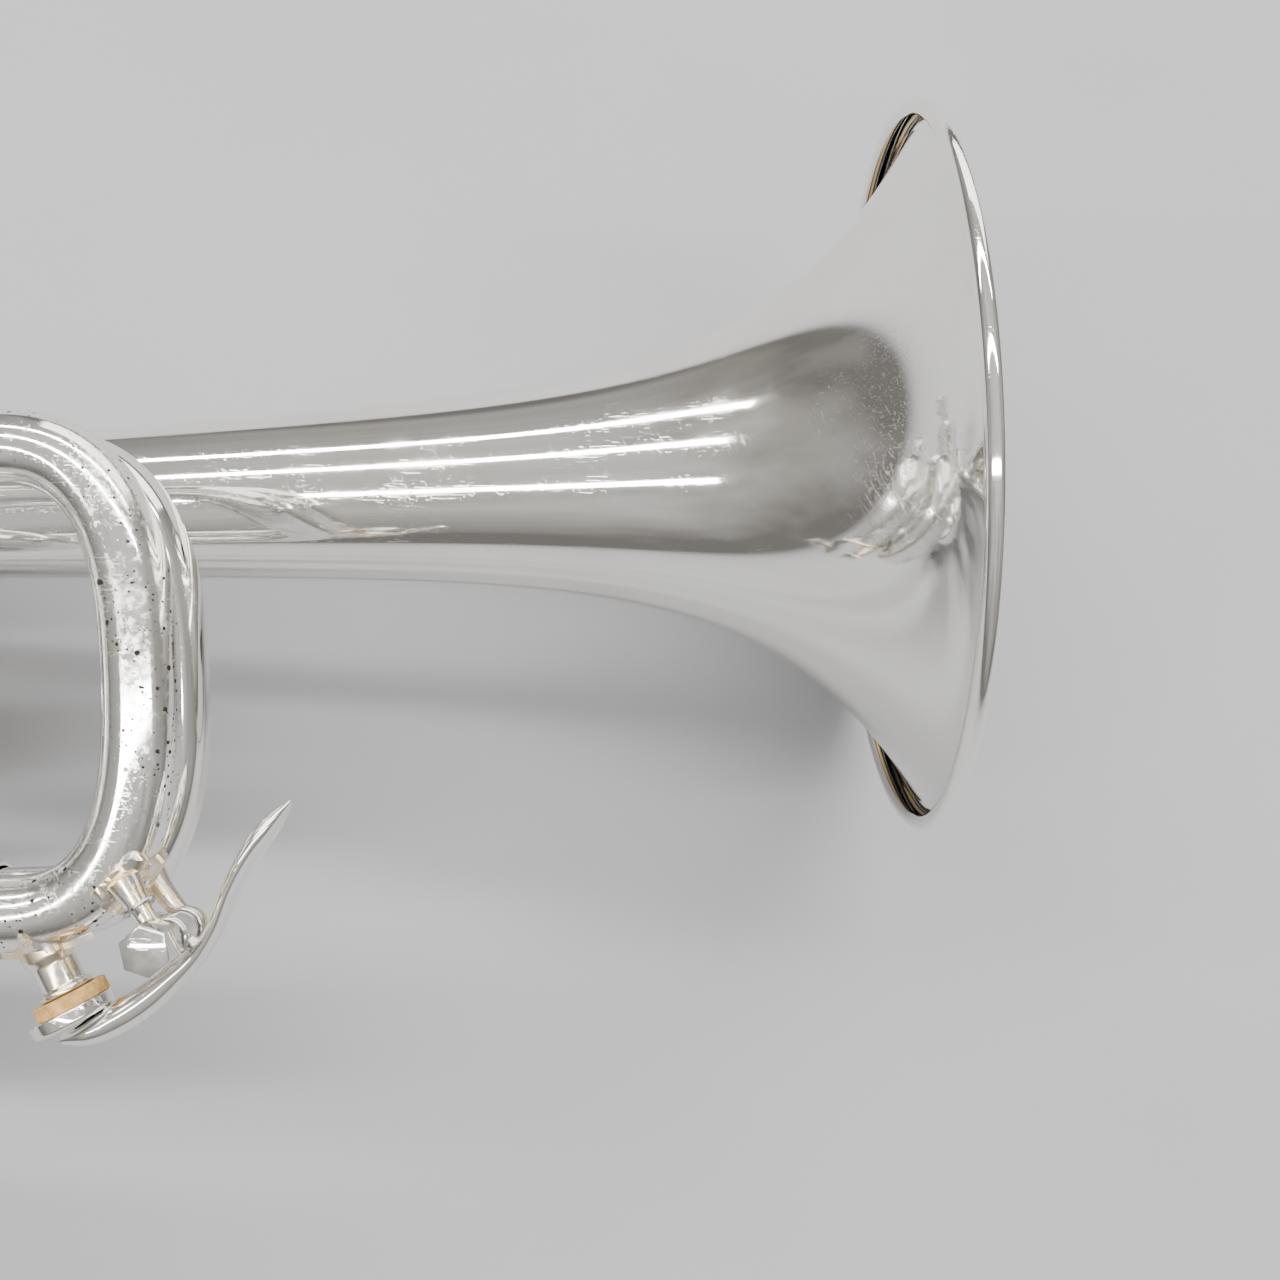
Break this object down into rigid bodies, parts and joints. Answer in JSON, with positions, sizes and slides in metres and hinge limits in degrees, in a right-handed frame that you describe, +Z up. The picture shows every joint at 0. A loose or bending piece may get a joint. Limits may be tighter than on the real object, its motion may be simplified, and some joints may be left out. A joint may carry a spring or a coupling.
{
  "type": "cornet",
  "caption": "Silver-plated piston-valve cornet lying on its side, with sprung valves, pull-out slides, a hinged water key and a removable mouthpiece.",
  "frame": {"origin": "middle of the bounding box at the table", "axes": "+Z up from the table; +X from the mouthpiece towards the bell's mouth; +Y towards the finger buttons; the instrument lies on its left side"},
  "size_m": [0.4682, 0.1562, 0.1183],
  "materials": {
    "silver_plate": "polished silver plate with fine scratches, pits and slight tarnish",
    "brass": "bare machined brass",
    "spring_steel": "drawn spring wire",
    "piston_alloy": "lapped nickel alloy",
    "pearl": "polished mother of pearl",
    "felt": "pressed felt",
    "cork": "natural cork"
  },
  "bodies": {
    "cornet": {"bell": "silver_plate", "bell_bow": "silver_plate", "bell_ferrule": "silver_plate", "bottom_cap_1": "silver_plate", "bottom_cap_2": "silver_plate", "bottom_cap_3": "silver_plate", "cap_felt_1": "felt", "cap_felt_2": "felt", "cap_felt_3": "felt", "far_bow": "silver_plate", "far_bow_ferrule": "silver_plate", "finger_hook": "silver_plate", "first_slide_sleeves": "silver_plate", "front_bell_brace": "silver_plate", "leadpipe": "silver_plate", "leadpipe_bell_brace": "silver_plate", "leadpipe_valve_brace": "silver_plate", "mouthpiece_receiver": "silver_plate", "near_bow": "silver_plate", "near_bow_ferrule": "silver_plate", "piston_spring_1": "spring_steel", "piston_spring_2": "spring_steel", "piston_spring_3": "spring_steel", "rim_wire": "spring_steel", "second_slide_sleeves": "silver_plate", "third_slide_sleeves": "silver_plate", "top_cap_1": "silver_plate", "top_cap_2": "silver_plate", "top_cap_3": "silver_plate", "tuning_sleeve_lower": "silver_plate", "tuning_sleeve_upper": "silver_plate", "valve_casing_1": "silver_plate", "valve_casing_2": "silver_plate", "valve_casing_3": "silver_plate", "valve_entry_tube": "silver_plate", "valve_guide_1": "brass", "valve_guide_2": "brass", "valve_guide_3": "brass", "waterkey_nipple": "silver_plate", "waterkey_saddle": "silver_plate", "waterkey_screw": "silver_plate", "waterkey_spring": "spring_steel"},
    "valve_1": {"piston_1": "piston_alloy", "finger_button_1": "silver_plate", "button_pearl_1": "pearl"},
    "valve_2": {"piston_2": "piston_alloy", "finger_button_2": "silver_plate", "button_pearl_2": "pearl"},
    "valve_3": {"piston_3": "piston_alloy", "finger_button_3": "silver_plate", "button_pearl_3": "pearl"},
    "tuning_slide": {"tuning_slide_crook": "silver_plate", "tuning_slide_brace": "silver_plate"},
    "first_slide": {"first_slide_crook": "silver_plate"},
    "second_slide": {"second_slide_crook": "silver_plate"},
    "third_slide": {"third_slide_crook": "silver_plate", "third_slide_ring": "silver_plate"},
    "water_key": {"waterkey_lever": "silver_plate", "waterkey_cork": "cork"},
    "mouthpiece": {"mouthpiece": "silver_plate"}
  },
  "joints": [
    {"name": "valve_1_press", "type": "slide", "parent": "cornet", "child": "valve_1", "axis": [0.043, -0.9583, -0.2827], "range_m": [0, 0.0165], "stiffness_N_per_m": 110, "springref_m": -0.014, "deforming": ["piston_spring_1"]},
    {"name": "valve_2_press", "type": "slide", "parent": "cornet", "child": "valve_2", "axis": [0.043, -0.9583, -0.2827], "range_m": [0, 0.0165], "stiffness_N_per_m": 110, "springref_m": -0.014, "deforming": ["piston_spring_2"]},
    {"name": "valve_3_press", "type": "slide", "parent": "cornet", "child": "valve_3", "axis": [0.043, -0.9583, -0.2827], "range_m": [0, 0.0165], "stiffness_N_per_m": 110, "springref_m": -0.014, "deforming": ["piston_spring_3"]},
    {"name": "tuning_slide_pull", "type": "slide", "parent": "cornet", "child": "tuning_slide", "axis": [-0.9886, 0, -0.1505], "range_m": [0, 0.015]},
    {"name": "first_slide_pull", "type": "slide", "parent": "cornet", "child": "first_slide", "axis": [-0.997, -0.0594, 0.0498], "range_m": [0, 0.015]},
    {"name": "second_slide_pull", "type": "slide", "parent": "cornet", "child": "second_slide", "axis": [-0.1442, -0.2859, 0.9473], "range_m": [0, 0.005]},
    {"name": "third_slide_pull", "type": "slide", "parent": "cornet", "child": "third_slide", "axis": [0.9886, 0, 0.1505], "range_m": [0, 0.02]},
    {"name": "water_key_open", "type": "hinge", "parent": "cornet", "child": "water_key", "pos_m": [0.11171, -0.05711, 0.07029], "axis": [-0.1442, -0.2859, 0.9473], "range_deg": [0, 16], "stiffness_Nm_per_rad": 0.02, "springref_deg": -68.75},
    {"name": "mouthpiece_pull", "type": "slide", "parent": "cornet", "child": "mouthpiece", "axis": [-0.9886, 0, -0.1505], "range_m": [0, 0.03]}
  ]
}
